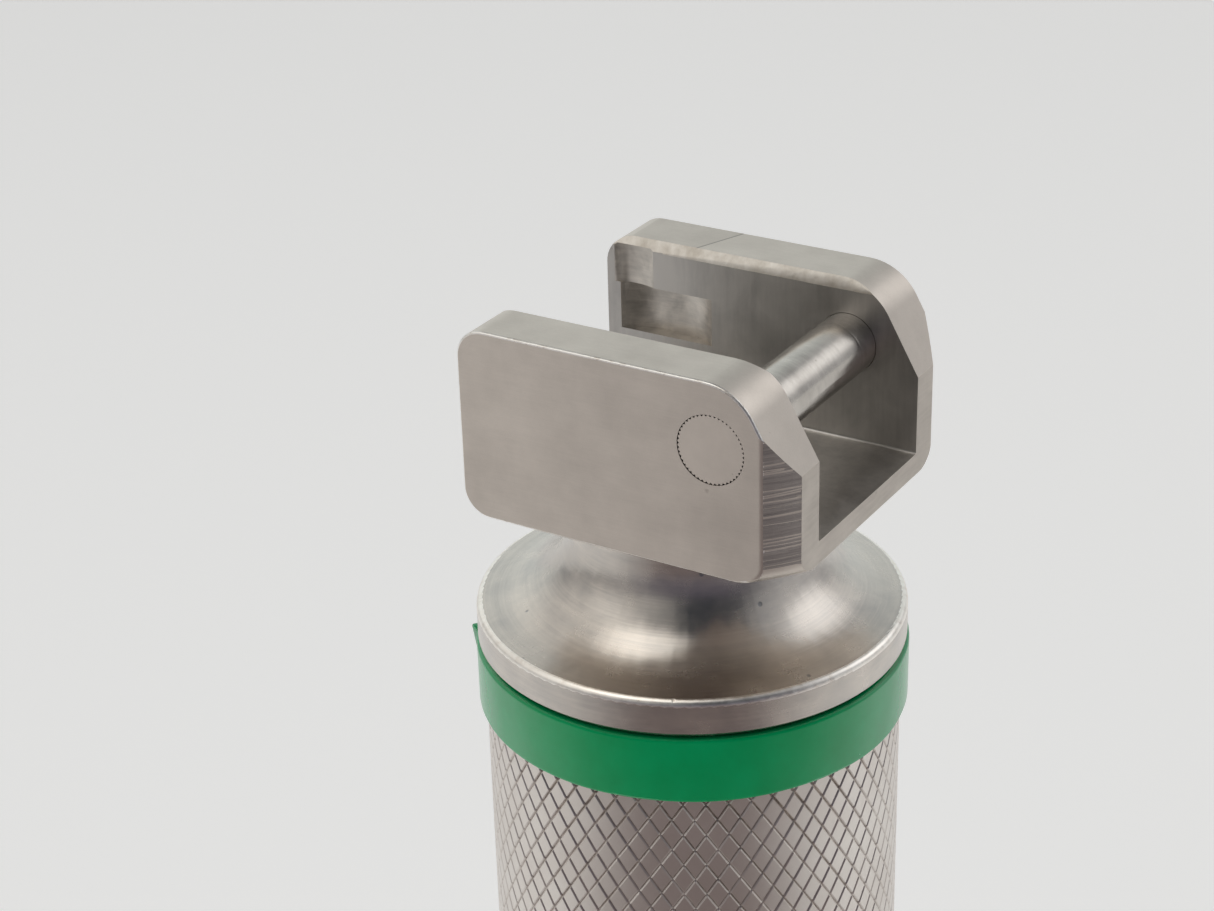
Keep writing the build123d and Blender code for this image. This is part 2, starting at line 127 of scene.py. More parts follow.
# ---------------------------------------------------------------- material helpers
class Nodes:
    """Short calls for building one material's node tree."""

    def __init__(self, name):
        self.material = bpy.data.materials.new(name)
        self.material.use_nodes = True
        self.tree = self.material.node_tree
        self.tree.nodes.clear()
        self.output = self.add("ShaderNodeOutputMaterial")
        self.shader = self.add("ShaderNodeBsdfPrincipled")
        self.join(self.shader.outputs[0], self.output.inputs["Surface"])
        self.place = self.add("ShaderNodeTexCoord").outputs["Object"]

    def add(self, kind, **settings):
        node = self.tree.nodes.new(kind)
        for key, value in settings.items():
            setattr(node, key, value)
        return node

    def join(self, source, target):
        self.tree.links.new(source, target)

    def feed(self, target, value):
        """Links a socket, or sets a plain value."""
        if isinstance(value, bpy.types.NodeSocket):
            self.join(value, target)
        else:
            target.default_value = value

    def math(self, operation, a, b=0.0, c=0.0, clamp=False):
        node = self.add("ShaderNodeMath", operation=operation, use_clamp=clamp)
        for socket, value in zip(node.inputs, (a, b, c)):
            self.feed(socket, value)
        return node.outputs[0]

    def stretch(self, scale, turn=(0, 0, 0)):
        """Object coordinates in millimetres, stretched and turned."""
        node = self.add("ShaderNodeMapping")
        self.join(self.place, node.inputs["Vector"])
        node.inputs["Scale"].default_value = [s / MM for s in scale]
        node.inputs["Rotation"].default_value = turn
        return node.outputs[0]

    def axes(self):
        """X, Y, Z in millimetres and the distance from the handle's axis."""
        split = self.add("ShaderNodeSeparateXYZ")
        self.join(self.stretch((1, 1, 1)), split.inputs[0])
        x, y, z = split.outputs
        radius = self.math("SQRT", self.math("ADD", self.math("MULTIPLY", x, x), self.math("MULTIPLY", y, y)))
        return x, y, z, radius

    def vector(self, x, y, z):
        node = self.add("ShaderNodeCombineXYZ")
        for socket, value in zip(node.inputs, (x, y, z)):
            self.feed(socket, value)
        return node.outputs[0]

    def noise(self, vector, scale, detail=4.0, rough=0.5, distortion=0.0):
        node = self.add("ShaderNodeTexNoise")
        self.join(vector, node.inputs["Vector"])
        node.inputs["Scale"].default_value = scale
        node.inputs["Detail"].default_value = detail
        node.inputs["Roughness"].default_value = rough
        node.inputs["Distortion"].default_value = distortion
        return node.outputs[0]

    def remap(self, value, low, high, to_low, to_high):
        node = self.add("ShaderNodeMapRange")
        node.inputs["From Min"].default_value = low
        node.inputs["From Max"].default_value = high
        self.feed(node.inputs["To Min"], to_low)
        self.feed(node.inputs["To Max"], to_high)
        self.join(value, node.inputs["Value"])
        return node.outputs[0]

    def colours(self, value, low, high, first, last):
        """Runs from one colour to another as value goes from low to high."""
        node = self.add("ShaderNodeMix", data_type="RGBA")
        self.join(self.remap(value, low, high, 0, 1), node.inputs["Factor"])
        self.feed(node.inputs[6], first)
        self.feed(node.inputs[7], last)
        return node.outputs[2]

    def bump(self, height, distance, strength=1.0):
        node = self.add("ShaderNodeBump")
        node.inputs["Strength"].default_value = strength
        node.inputs["Distance"].default_value = distance * MM
        self.join(height, node.inputs["Height"])
        self.join(node.outputs[0], self.shader.inputs["Normal"])

    def set(self, **values):
        for key, value in values.items():
            self.feed(self.shader.inputs[key.replace("_", " ")], value)


def steel(tone):
    """A stainless steel's colour, a little warm."""
    return (tone * 1.10, tone, tone * 0.90, 1)


def shade(colour, factor):
    return tuple(factor * c for c in colour[:3]) + (1,)


def pits(nodes, size, share, reach=0.2):
    """1 in small scattered pits, 0 elsewhere."""
    cells = nodes.add("ShaderNodeTexVoronoi")
    nodes.join(nodes.stretch((1, 1, 1)), cells.inputs["Vector"])
    cells.inputs["Scale"].default_value = 1 / size
    chosen = nodes.add("ShaderNodeSeparateColor")
    nodes.join(cells.outputs["Color"], chosen.inputs[0])
    rare = nodes.math("LESS_THAN", chosen.outputs[0], share)
    near = nodes.remap(cells.outputs["Distance"], reach / 2, reach, 1, 0)
    return nodes.math("MULTIPLY", rare, near)


def scratches(nodes, turn, length, spacing, share):
    """1 along scattered hairlines that run one way, 0 elsewhere."""
    cells = nodes.add("ShaderNodeTexVoronoi")
    nodes.join(nodes.stretch((1 / length, 1 / spacing, 1 / spacing), turn), cells.inputs["Vector"])
    cells.inputs["Scale"].default_value = 1.0
    chosen = nodes.add("ShaderNodeSeparateColor")
    nodes.join(cells.outputs["Color"], chosen.inputs[0])
    rare = nodes.math("LESS_THAN", chosen.outputs[0], share)
    near = nodes.remap(cells.outputs["Distance"], 0.03, 0.07, 1, 0)
    return nodes.math("MULTIPLY", rare, near)


def blend(nodes, *shares):
    """Adds up (share, value) pairs."""
    total = 0.0
    for share, value in shares:
        total = nodes.math("ADD", total, nodes.math("MULTIPLY", share, value))
    return total


# ---------------------------------------------------------------- materials
def ground_steel(name="ground_steel", seam=False):
    """Cheeks, ground and blasted: fine even grain, faint clouding and hairline scratches."""
    n = Nodes(name)
    cloud = n.noise(n.stretch((1, 1, 1)), 0.28, 5.0, 0.6)
    grain = n.noise(n.stretch((1, 1, 1)), 14.0, 2.0, 0.6)
    lines = n.noise(n.stretch((0.5, 9, 9), (0, 0.2, 0)), 1.0, 3.0, 0.6)
    marks = n.math("MAXIMUM", pits(n, 1.9, 0.035, 0.1), scratches(n, (0.3, 0.9, 0.2), 3.0, 0.8, 0.03))
    tone = blend(n, (0.62, cloud), (0.2, grain), (0.18, lines), (-0.12, marks))
    if seam:
        x, y, _, _ = n.axes()
        off = blend(n, (SEAM_ACROSS[0], n.math("SUBTRACT", x, SEAM_POINT[0])),
                    (SEAM_ACROSS[1], n.math("SUBTRACT", y, SEAM_POINT[1])))
        hairline = n.remap(n.math("ABSOLUTE", off), 0.03, 0.08, 1, 0)
        tone = blend(n, (1, tone), (-0.12, n.remap(off, -0.03, 0.03, 1, 0)))
    face = n.colours(tone, 0.2, 0.7, steel(0.52), steel(0.68))
    if seam:
        face = n.colours(hairline, 0, 1, face, steel(0.3))
    n.set(Metallic=1.0, Base_Color=face)
    n.set(Roughness=blend(n, (1, n.remap(tone, 0.3, 0.7, 0.42, 0.34)), (0.2, marks)))
    n.bump(blend(n, (0.7, grain), (0.5, lines), (-2.0, marks)), 0.004)
    return n.material


def shaded_front_steel():
    """Front faces of the block, milled across and duller than the cheeks, their colour painted a shade darker
    than the cheeks': painted shade.
    """
    n = Nodes("shaded_front_steel")
    marks = n.noise(n.stretch((1, 0.3, 2.5)), 1.6, 4.0, 0.6)
    cloud = n.noise(n.stretch((1, 1, 1)), 0.4, 4.0, 0.6)
    spots = pits(n, 1.6, 0.05, 0.11)
    tone = blend(n, (0.6, cloud), (0.4, marks), (-0.2, spots))
    # steel colours darker than the cheeks': painted shade
    n.set(Metallic=1.0, Base_Color=n.colours(tone, 0.25, 0.7, steel(0.40), steel(0.52)))
    n.set(Roughness=n.remap(tone, 0.3, 0.7, 0.44, 0.36))
    n.bump(blend(n, (0.6, marks), (-1.5, spots)), 0.006)
    return n.material


def edge_highlight_steel():
    """Broken edges, rubbed, with tiny nicks, their colour painted up to near white: a painted highlight along
    the edges.
    """
    n = Nodes("edge_highlight_steel")
    nick = n.noise(n.stretch((1, 1, 1)), 1.3, 4.0, 0.75)
    # the nick noise mixes the colour to near white over much of the edge: painted highlight
    n.set(Metallic=1.0, Base_Color=n.colours(nick, 0.34, 0.5, steel(0.66), (1.0, 0.97, 0.93, 1)))
    n.set(Roughness=n.remap(nick, 0.3, 0.7, 0.28, 0.38))
    n.bump(nick, 0.03)
    return n.material


def flared_steel():
    """The slot's flared top edges, filed by hand and rubbed smooth by the blade, their colour painted pale
    cream: a filed finish with a painted highlight on it.
    """
    n = Nodes("flared_steel")
    teeth = n.noise(n.stretch((1, 1, 0.6)), 2.2, 4.0, 0.6)
    cloud = n.noise(n.stretch((1, 1, 1)), 0.5, 3.0, 0.6)
    # pale cream up to near white: painted highlight on the filed steel
    n.set(Metallic=1.0, Base_Color=n.colours(blend(n, (0.35, teeth), (0.65, cloud)), 0.32, 0.62,
                                             (0.72, 0.66, 0.58, 1), (1.0, 0.95, 0.88, 1)))
    n.set(Roughness=n.remap(teeth, 0.3, 0.7, 0.52, 0.42))
    n.bump(teeth, 0.03)
    return n.material


def turned_steel():
    """Neck and flange, turned on a lathe: concentric marks, small pits, stains and scratches."""
    n = Nodes("turned_steel")
    x, _, z, radius = n.axes()
    along = n.vector(radius, z, n.math("MULTIPLY", x, 0.02))
    fine = n.noise(along, 9.0, 3.0, 0.65)
    broad = n.noise(along, 1.1, 2.0, 0.5)
    cloud = n.noise(n.stretch((1, 1, 1)), 0.3, 5.0, 0.6, 0.4)
    smear = n.noise(n.stretch((0.6, 0.6, 1.8)), 0.6, 4.0, 0.6, 0.8)
    spots = n.math("MAXIMUM", pits(n, 1.5, 0.06, 0.13), scratches(n, (0.5, 1.1, 0.9), 1.5, 0.9, 0.04))
    tone = blend(n, (0.42, cloud), (0.2, smear), (0.2, fine), (0.18, broad), (-0.5, spots))
    n.set(Metallic=1.0, Base_Color=n.colours(tone, 0.18, 0.62, (0.36, 0.355, 0.355, 1),
                                             (0.75, 0.69, 0.625, 1)))
    n.set(Roughness=n.remap(blend(n, (0.6, cloud), (0.4, smear)), 0.3, 0.7, 0.20, 0.31))
    n.bump(blend(n, (0.8, fine), (0.6, broad), (-3.0, spots)), 0.003)
    return n.material


def rim_highlight_steel():
    """The flange's rolled edge, its colour painted up to near white: a painted highlight along the rim."""
    n = Nodes("rim_highlight_steel")
    wear_and_glint = n.noise(n.stretch((1, 1, 1)), 1.4, 4.0, 0.6)
    nick = n.math("MAXIMUM", pits(n, 1.2, 0.06, 0.12), scratches(n, (0.5, 0.9, 0.2), 1.5, 0.8, 0.05))
    worn = blend(n, (1, wear_and_glint), (-0.3, nick))
    # the noise mixes the colour up to near white as painted highlight; real nicks stay darker
    n.set(Metallic=1.0, Base_Color=n.colours(worn, 0.2, 0.55, steel(0.72), (1, 0.96, 0.9, 1)))
    n.set(Roughness=n.remap(wear_and_glint, 0.3, 0.7, 0.27, 0.36))
    n.bump(blend(n, (0.4, wear_and_glint), (-1.5, nick)), 0.01)
    return n.material


def striated_steel():
    """Front corners, turned with a coarse feed: uneven level scores, cut into the mesh too."""
    n = Nodes("striated_steel")
    scores = n.noise(n.stretch((0.16, 0.16, 8.0), (0.04, 0.0, 0)), 1.0, 5.0, 0.75, 0.3)
    fleck = pits(n, 0.9, 0.03, 0.14)
    tone = blend(n, (1, scores), (0.5, fleck))
    n.set(Metallic=1.0, Base_Color=n.colours(tone, 0.3, 0.68, (0.30, 0.27, 0.26, 1), (0.50, 0.46, 0.43, 1)))
    n.set(Roughness=n.remap(scores, 0.3, 0.7, 0.52, 0.42))
    n.bump(scores, 0.03)
    return n.material


def milled_steel(name="milled_steel", lift=1.0):
    """Inside the slot, milled: faint upright cutter marks, clouded, and rubbed where the catch runs in. The
    lift factor paints the whole colour lighter, as painted light.
    """
    n = Nodes(name)
    marks = n.noise(n.stretch((1.2, 1.2, 0.12)), 2.0, 4.0, 0.6)
    cloud = n.noise(n.stretch((1, 1, 1)), 0.33, 5.0, 0.6, 0.5)
    spots = pits(n, 1.4, 0.05, 0.12)
    x, _, z, _ = n.axes()
    off = n.vector(n.math("SUBTRACT", x, RUB_PLACE[0]), 0.0, n.math("SUBTRACT", z, RUB_PLACE[1]))
    reach = n.add("ShaderNodeVectorMath", operation="LENGTH")
    n.join(off, reach.inputs[0])
    rubbed = n.remap(reach.outputs["Value"], 0.4, 3.0, 1, 0)
    tone = blend(n, (0.65, cloud), (0.35, marks), (-0.15, spots), (0.22, rubbed))
    # lift scales both colours lighter: painted light
    n.set(Metallic=1.0, Base_Color=n.colours(tone, 0.3, 0.68, shade((0.40, 0.385, 0.37), lift),
                                             shade((0.58, 0.555, 0.525), lift)))
    n.set(Roughness=n.remap(cloud, 0.3, 0.7, 0.32, 0.42))
    n.bump(blend(n, (1, marks), (-1.5, spots)), 0.006)
    return n.material


def pocket_steel():
    """Locking pockets and their run-in grooves, cut by a small milling cutter and rubbed by the catch."""
    n = Nodes("pocket_steel")
    steps = n.noise(n.stretch((0.5, 0.5, 3.0)), 1.0, 3.0, 0.6, 0.5)
    cloud = n.noise(n.stretch((1, 1, 1)), 0.55, 4.0, 0.6, 0.6)
    tone = blend(n, (0.6, cloud), (0.4, steps))
    n.set(Metallic=1.0, Base_Color=n.colours(tone, 0.33, 0.64, (0.42, 0.395, 0.365, 1),
                                             (0.71, 0.66, 0.60, 1)))
    n.set(Roughness=n.remap(steps, 0.3, 0.7, 0.34, 0.46))
    n.bump(steps, 0.02)
    return n.material


def knurl_steel():
    """Knurled tube: satin crests with faint brown stains, and a darker colour down in the grooves."""
    n = Nodes("knurl_steel")
    radius = n.axes()[3]
    crest = n.remap(radius, TUBE_R / MM - KNURL_DEPTH / MM, TUBE_R / MM - 0.02, 0, 1)
    cloud = n.noise(n.stretch((1, 1, 1)), 0.16, 4.0, 0.6)
    groove_mottle = n.noise(n.stretch((1, 1, 1)), 1.1, 4.0, 0.7)
    grain = n.noise(n.stretch((1, 1, 1)), 12.0, 2.0, 0.6)
    scuff = scratches(n, (0.5, 0.7, 0.3), 2.0, 0.9, 0.08)
    tone = blend(n, (0.8, cloud), (0.2, grain))
    clean = n.colours(tone, 0.3, 0.68, (0.70, 0.645, 0.60, 1), (0.80, 0.755, 0.71, 1))
    worn = n.colours(scuff, 0, 1, clean, (0.9, 0.87, 0.82, 1))
    # the grooves are coloured darker than the crests
    floor = n.colours(groove_mottle, 0.35, 0.65, (0.40, 0.355, 0.325, 1), (0.66, 0.60, 0.55, 1))
    n.set(Metallic=1.0, Base_Color=n.colours(crest, 0.1, 0.9, floor, worn))
    n.set(Roughness=blend(n, (1, n.remap(grain, 0.3, 0.7, 0.34, 0.44)), (-0.06, crest)))
    n.bump(blend(n, (1, grain), (-0.8, scuff)), 0.003)
    return n.material


def thread_steel():
    """Screw threads and other hidden turned steel, faintly greasy."""
    n = Nodes("thread_steel")
    x, _, z, radius = n.axes()
    grease = n.noise(n.stretch((1, 1, 1)), 0.8, 4.0, 0.6)
    marks = n.noise(n.vector(radius, z, n.math("MULTIPLY", x, 0.03)), 7.0, 3.0, 0.6)
    tone = blend(n, (0.6, grease), (0.4, marks))
    n.set(Metallic=1.0, Base_Color=n.colours(tone, 0.3, 0.68, steel(0.42), steel(0.62)))
    n.set(Roughness=n.remap(grease, 0.3, 0.7, 0.24, 0.38))
    n.bump(marks, 0.004)
    return n.material


def pin_steel():
    """Hinge pin: ground bright, with a rubbed ring where the blade's hook bears and a few nicks."""
    n = Nodes("pin_steel")
    y = n.axes()[1]
    marks = n.noise(n.stretch((0.4, 6, 0.4)), 1.0, 3.0, 0.6)
    cloud = n.noise(n.stretch((1, 1, 1)), 0.5, 4.0, 0.6)
    nick = n.math("MAXIMUM", pits(n, 1.3, 0.05, 0.13), scratches(n, (0.2, 0.6, 1.2), 1.4, 0.8, 0.06))
    ring = n.remap(n.math("ABSOLUTE", n.math("SUBTRACT", y, PIN_RING_Y)), 0.03, 0.16, 1, 0)
    tone = blend(n, (0.75, cloud), (0.25, marks), (-0.45, nick), (-0.1, ring))
    end = n.remap(n.math("ABSOLUTE", y), HEAD_HALF / MM - 0.2, HEAD_HALF / MM - 0.1, 0, 1)
    shaft = n.colours(tone, 0.15, 0.66, (0.37, 0.345, 0.315, 1), (0.68, 0.64, 0.59, 1))
    end_face = n.colours(tone, 0.2, 0.7, steel(0.58), steel(0.70))
    n.set(Metallic=1.0, Base_Color=n.colours(end, 0, 1, shaft, end_face))
    n.set(Roughness=blend(n, (1, n.remap(cloud, 0.3, 0.7, 0.17, 0.26)), (0.14, end)))
    n.bump(blend(n, (0.25, marks), (-3.0, nick), (-1.0, ring)), 0.004)
    return n.material


def green_plastic():
    """The colour ring: moulded, glossy, with light scuffs."""
    n = Nodes("green_plastic")
    cloud = n.noise(n.stretch((1, 1, 1)), 0.35, 4.0, 0.6)
    grain = n.noise(n.stretch((1, 1, 0.3)), 6.0, 3.0, 0.6)
    wave = n.noise(n.stretch((1, 1, 0.6)), 0.45, 2.0, 0.5)
    fleck = n.math("MAXIMUM", pits(n, 1.6, 0.03, 0.1), scratches(n, (0.3, 1.0, 0.4), 1.4, 0.9, 0.035))
    body = n.colours(cloud, 0.3, 0.7, (0.0, 0.335, 0.105, 1), (0.0, 0.385, 0.13, 1))
    n.set(Base_Color=n.colours(fleck, 0, 1, body, (0.10, 0.55, 0.30, 1)))
    n.set(Roughness=blend(n, (1, n.remap(grain, 0.3, 0.7, 0.17, 0.23)), (0.2, fleck)), IOR=1.55)
    glancing = n.add("ShaderNodeLayerWeight")
    glancing.inputs["Blend"].default_value = 0.5
    n.set(Specular_IOR_Level=n.remap(glancing.outputs["Facing"], 0.15, 0.55, 0.08, 1.0))
    n.bump(blend(n, (0.04, grain), (1.6, wave), (0.4, fleck)), 0.02)
    return n.material


def plain(name, colour, metallic, roughness, grain_size=0.2, depth=0.002, turned=False):
    """Inner pieces: one colour, clouded, with grain or turning marks and a few pits."""
    n = Nodes(name)
    cloud = n.noise(n.stretch((1, 1, 1)), 0.8, 4.0, 0.6)
    if turned:
        x, _, z, radius = n.axes()
        grain = n.noise(n.vector(radius, z, n.math("MULTIPLY", x, 0.03)), 1 / grain_size, 3.0, 0.6)
    else:
        grain = n.noise(n.stretch((1, 1, 1)), 1 / grain_size, 3.0, 0.6)
    spots = pits(n, 1.1, 0.06, 0.12)
    tone = blend(n, (0.6, cloud), (0.4, grain), (-0.2, spots))
    n.set(Base_Color=n.colours(tone, 0.25, 0.68, shade(colour, 0.74), colour), Metallic=metallic)
    n.set(Roughness=n.remap(tone, 0.3, 0.7, roughness + 0.06, roughness - 0.05))
    n.bump(blend(n, (1, grain), (-1.5, spots)), depth)
    return n.material


def cell_jacket():
    """A dry cell's printed jacket: dark, with a copper-coloured band towards the positive end."""
    n = Nodes("cell_jacket")
    z = n.axes()[2]
    along = n.math("FLOORED_MODULO", n.math("SUBTRACT", z, CELL_FOOT), CELL_PITCH)
    band = n.math("MULTIPLY", n.remap(along, CELL_BAND[0], CELL_BAND[0] + 0.1, 0, 1),
                  n.remap(along, CELL_BAND[1], CELL_BAND[1] + 0.1, 1, 0))
    line = n.math("MULTIPLY", n.remap(along, CELL_LINE[0], CELL_LINE[0] + 0.1, 0, 1),
                  n.remap(along, CELL_LINE[1], CELL_LINE[1] + 0.1, 1, 0))
    cloud = n.noise(n.stretch((1, 1, 1)), 0.6, 4.0, 0.6)
    scuff = scratches(n, (0.2, 0.3, 0.1), 3.0, 0.9, 0.08)
    dark = n.colours(cloud, 0.3, 0.7, (0.012, 0.014, 0.02, 1), (0.03, 0.035, 0.045, 1))
    copper = n.colours(cloud, 0.3, 0.7, (0.46, 0.20, 0.07, 1), (0.56, 0.27, 0.10, 1))
    banded = n.colours(n.math("MAXIMUM", band, line), 0, 1, dark, copper)
    n.set(Base_Color=n.colours(scuff, 0, 1, banded, (0.3, 0.3, 0.3, 1)))
    n.set(Metallic=n.math("MULTIPLY", band, 0.7))
    n.set(Roughness=n.remap(cloud, 0.3, 0.7, 0.24, 0.34))
    n.bump(blend(n, (1, cloud), (-1, scuff)), 0.01)
    return n.material


def clear_glass(name, tint):
    """Glass with faint smears."""
    n = Nodes(name)
    smear = n.noise(n.stretch((1, 1, 1)), 1.5, 4.0, 0.6)
    n.set(Base_Color=n.colours(smear, 0.3, 0.7, shade(tint, 0.93), tint), Transmission_Weight=1.0, IOR=1.5)
    n.set(Roughness=n.remap(smear, 0.3, 0.7, 0.02, 0.10))
    n.bump(smear, 0.01)
    return n.material


# ---------------------------------------------------------------- meshes
def loop_from_edges(edges):
    """The vertices of a closed ring of edges round the handle, in order of angle."""
    verts = {v for e in edges for v in e.verts}
    return sorted(verts, key=lambda v: math.atan2(v.co.y, v.co.x))


def stitch(bm, first, second):
    """Joins two rings of the same number of vertices with quads; both run the same way round."""
    count = len(first)
    for k in range(count):
        n = (k + 1) % count
        bm.faces.new((first[k], first[n], second[n], second[k]))


def run_rings(bm, loop, rings):
    """Carries a ring on through (radius, height) steps and returns the last one."""
    for radius, height in rings:
        fresh = []
        for v in loop:
            turn = math.atan2(v.co.y, v.co.x)
            fresh.append(bm.verts.new((radius * math.cos(turn), radius * math.sin(turn), height)))
        stitch(bm, loop, fresh)
        loop = fresh
    return loop


def cut_between(bm, low, high):
    """Trims a mesh to two heights and returns the rings it leaves there."""
    rims = []
    for height, away in ((low, (0, 0, -1)), (high, (0, 0, 1))):
        geometry = list(bm.verts) + list(bm.edges) + list(bm.faces)
        cut = bmesh.ops.bisect_plane(bm, geom=geometry, dist=TRIM_WELD, plane_co=(0, 0, height),
                                     plane_no=away, clear_outer=True)
        rims.append([e for e in cut["geom_cut"] if isinstance(e, bmesh.types.BMEdge)])
    return [loop_from_edges([e for e in rim if e.is_valid]) for rim in rims]


def knurl_band(bm, radius, low, high):
    """Flat diamonds between crossed V grooves on a cylinder. Its mesh lines follow the grooves.

    Along u and v, the two helices' own coordinates, a groove's bottom is at each whole number."""
    shares = (0.0, KNURL_EDGE, 1 - KNURL_EDGE)
    per = len(shares)
    lines = KNURL_STARTS * per
    margin = 2 * per  # mesh lines past each end, trimmed off again
    span = math.radians(360 / KNURL_STARTS)
    verts = {}

    def coordinate(index):
        return index // per + shares[index % per]

    def vertex(i, j):
        shift = i // lines
        i, j = i - shift * lines, j - shift * lines
        if (i, j) not in verts:
            u, v = coordinate(i), coordinate(j)
            turn = span * (u + v) / 2
            height = KNURL_PITCH * (u - v) / 2
            uneven = KNURL_UNEVEN * math.sin(u * 2.3) + KNURL_UNEVEN * math.sin(v * 3.1)
            fresh = KNURL_FRESH_DEPTH * max(0, 1 - (high - height) / KNURL_FRESH)
            grooved = i % per == 0 or j % per == 0
            r = radius - (KNURL_DEPTH * (KNURL_WORN + uneven + fresh) if grooved else 0)
            verts[(i, j)] = bm.verts.new((r * math.cos(turn), r * math.sin(turn), height))
        return verts[(i, j)]

    for i in range(lines):
        u = coordinate(i)
        j_from = math.floor(per * (u - 2 * high / KNURL_PITCH)) - margin
        j_to = math.ceil(per * (u - 2 * low / KNURL_PITCH)) + margin
        for j in range(j_from, j_to):
            bm.faces.new((vertex(i, j), vertex(i, j + 1), vertex(i + 1, j + 1), vertex(i + 1, j)))
    return cut_between(bm, low, high)


def new_piece(name, bm, materials, body, node):
    """Makes an object from a bmesh and puts it in the place of a CAD node, on a body if one is given."""
    bmesh.ops.recalc_face_normals(bm, faces=bm.faces)
    mesh = bpy.data.meshes.new(name)
    bm.to_mesh(mesh)
    bm.free()
    piece = bpy.data.objects.new(name, mesh)
    bpy.context.scene.collection.objects.link(piece)
    for material in materials:
        mesh.materials.append(material)
    if body:
        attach(piece, body)
    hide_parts(node)
    return piece


def copied(node):
    """A welded copy of a CAD node's mesh, to be cut and added to."""
    bm = bmesh.new()
    bm.from_mesh(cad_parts[node].data)
    bmesh.ops.remove_doubles(bm, verts=bm.verts, dist=WELD)
    return bm


def cut_faces(bm, faces, point, normal):
    """Cuts only these faces along a plane and returns the vertices on the cut."""
    edges = {e for f in faces for e in f.edges}
    verts = {v for f in faces for v in f.verts}
    cut = bmesh.ops.bisect_plane(bm, geom=list(verts) + list(edges) + list(faces), dist=CUT_WELD,
                                 plane_co=point, plane_no=normal)
    return [v for v in cut["geom_cut"] if isinstance(v, bmesh.types.BMVert)]


def on_cylinder(face, radius):
    """Whether a face lies on the outside of a cylinder round the handle."""
    c, n = face.calc_center_median(), face.normal
    return all(abs(math.hypot(v.co.x, v.co.y) - radius) < ON_WALL for v in face.verts) \
        and n.x * c.x + n.y * c.y > 0


def wall_faces(bm, radius, low, high):
    """Outward faces of a cylinder round the handle, between two heights."""
    return [f for f in bm.faces
            if on_cylinder(f, radius) and low - WELD < f.calc_center_median().z < high + WELD]


def swap_wall(bm, radius, low, high, band):
    """Cuts a stretch of a cylindrical wall out of a mesh and bridges a finished band into the gap."""
    past = 40 * MM  # far enough to take in the whole wall
    for height in (low, high):
        cut_faces(bm, wall_faces(bm, radius, low - past, high + past), (0, 0, height), (0, 0, 1))
    bmesh.ops.delete(bm, geom=wall_faces(bm, radius, low, high), context="FACES")
    mesh = bpy.data.meshes.new("band")
    band.to_mesh(mesh)
    band.free()
    bm.from_mesh(mesh)
    bpy.data.meshes.remove(mesh)
    middle = (low + high) / 2
    open_edges = [e for e in bm.edges if len(e.link_faces) == 1]
    for side in (-1, 1):
        rims = [e for e in open_edges if (e.verts[0].co.z - middle) * side > 0]
        bmesh.ops.bridge_loops(bm, edges=rims)


def thread_band(low, high, crest, root):
    """A right-hand screw thread that runs out at both ends. Its mesh lines follow the helix."""
    bm = bmesh.new()
    shares = ((0.0, root), (0.22, root), (0.5, crest), (0.72, crest))  # along one turn, by share of it
    turns = math.ceil((high - low) / THREAD_PITCH) + 2
    columns = []
    for k in range(THREAD_STEPS):
        column = []
        for row in range(turns * len(shares)):
            share, radius = shares[row % len(shares)]
            z = low + THREAD_PITCH * (row // len(shares) + share + k / THREAD_STEPS - 1)
            fade = min(1, max(0, min(z - low, high - z) / THREAD_FADE - 0.5))
            r = root + (radius - root) * fade
            turn = math.radians(360 * k / THREAD_STEPS)
            column.append(bm.verts.new((r * math.cos(turn), r * math.sin(turn), z)))
        columns.append(column)
    for k in range(THREAD_STEPS):
        first, second = columns[k], columns[(k + 1) % THREAD_STEPS]
        lift = len(shares) if k == THREAD_STEPS - 1 else 0
        for row in range(len(first) - 1 - lift):
            bm.faces.new((first[row], second[row + lift], second[row + 1 + lift], first[row + 1]))
    cut_between(bm, low, high)
    return bm


def soft_normals(mesh, angle, creased=(), softened=(), round_r=None):
    """Shades each corner by the faces round it that lie within an angle of its own, big flats first.

    Materials in creased stay flat, and faces in softened shade into faces further off. Faces whose corners
    all lie on an upright cylinder of radius round_r are shaded as that cylinder."""
    flats = {}
    keys = []
    for f in mesh.polygons:
        n = f.normal
        key = (round(n.x, 3), round(n.y, 3), round(n.z, 3), round(f.center.dot(n) / FLAT_STEP))
        keys.append(key)
        flats[key] = flats.get(key, 0) + f.area
    around = {}
    for f in mesh.polygons:
        for v in f.vertices:
            around.setdefault(v, []).append(f.index)
    usual, wide = math.cos(math.radians(angle)), math.cos(math.radians(SOFTENED_ANGLE))
    normals = []
    for f in mesh.polygons:
        corners = [mesh.vertices[v].co for v in f.vertices]
        on_round = round_r and all(abs(c.xy.length - round_r) < ON_ROUND for c in corners)
        if on_round and abs(f.normal.z) < UPRIGHT:
            normals.extend(Vector((c.x, c.y, 0)).normalized() for c in corners)
            continue
        limit = wide if f.material_index in softened else usual
        for v in f.vertices:
            total = Vector((0, 0, 0))
            if f.material_index not in creased:
                for other in around[v]:
                    g = mesh.polygons[other]
                    if g.material_index not in creased and g.normal.dot(f.normal) > limit:
                        total += g.normal * flats[keys[other]]
            normals.append(total.normalized() if total.length > 0 else f.normal)
    mesh.normals_split_custom_set(normals)


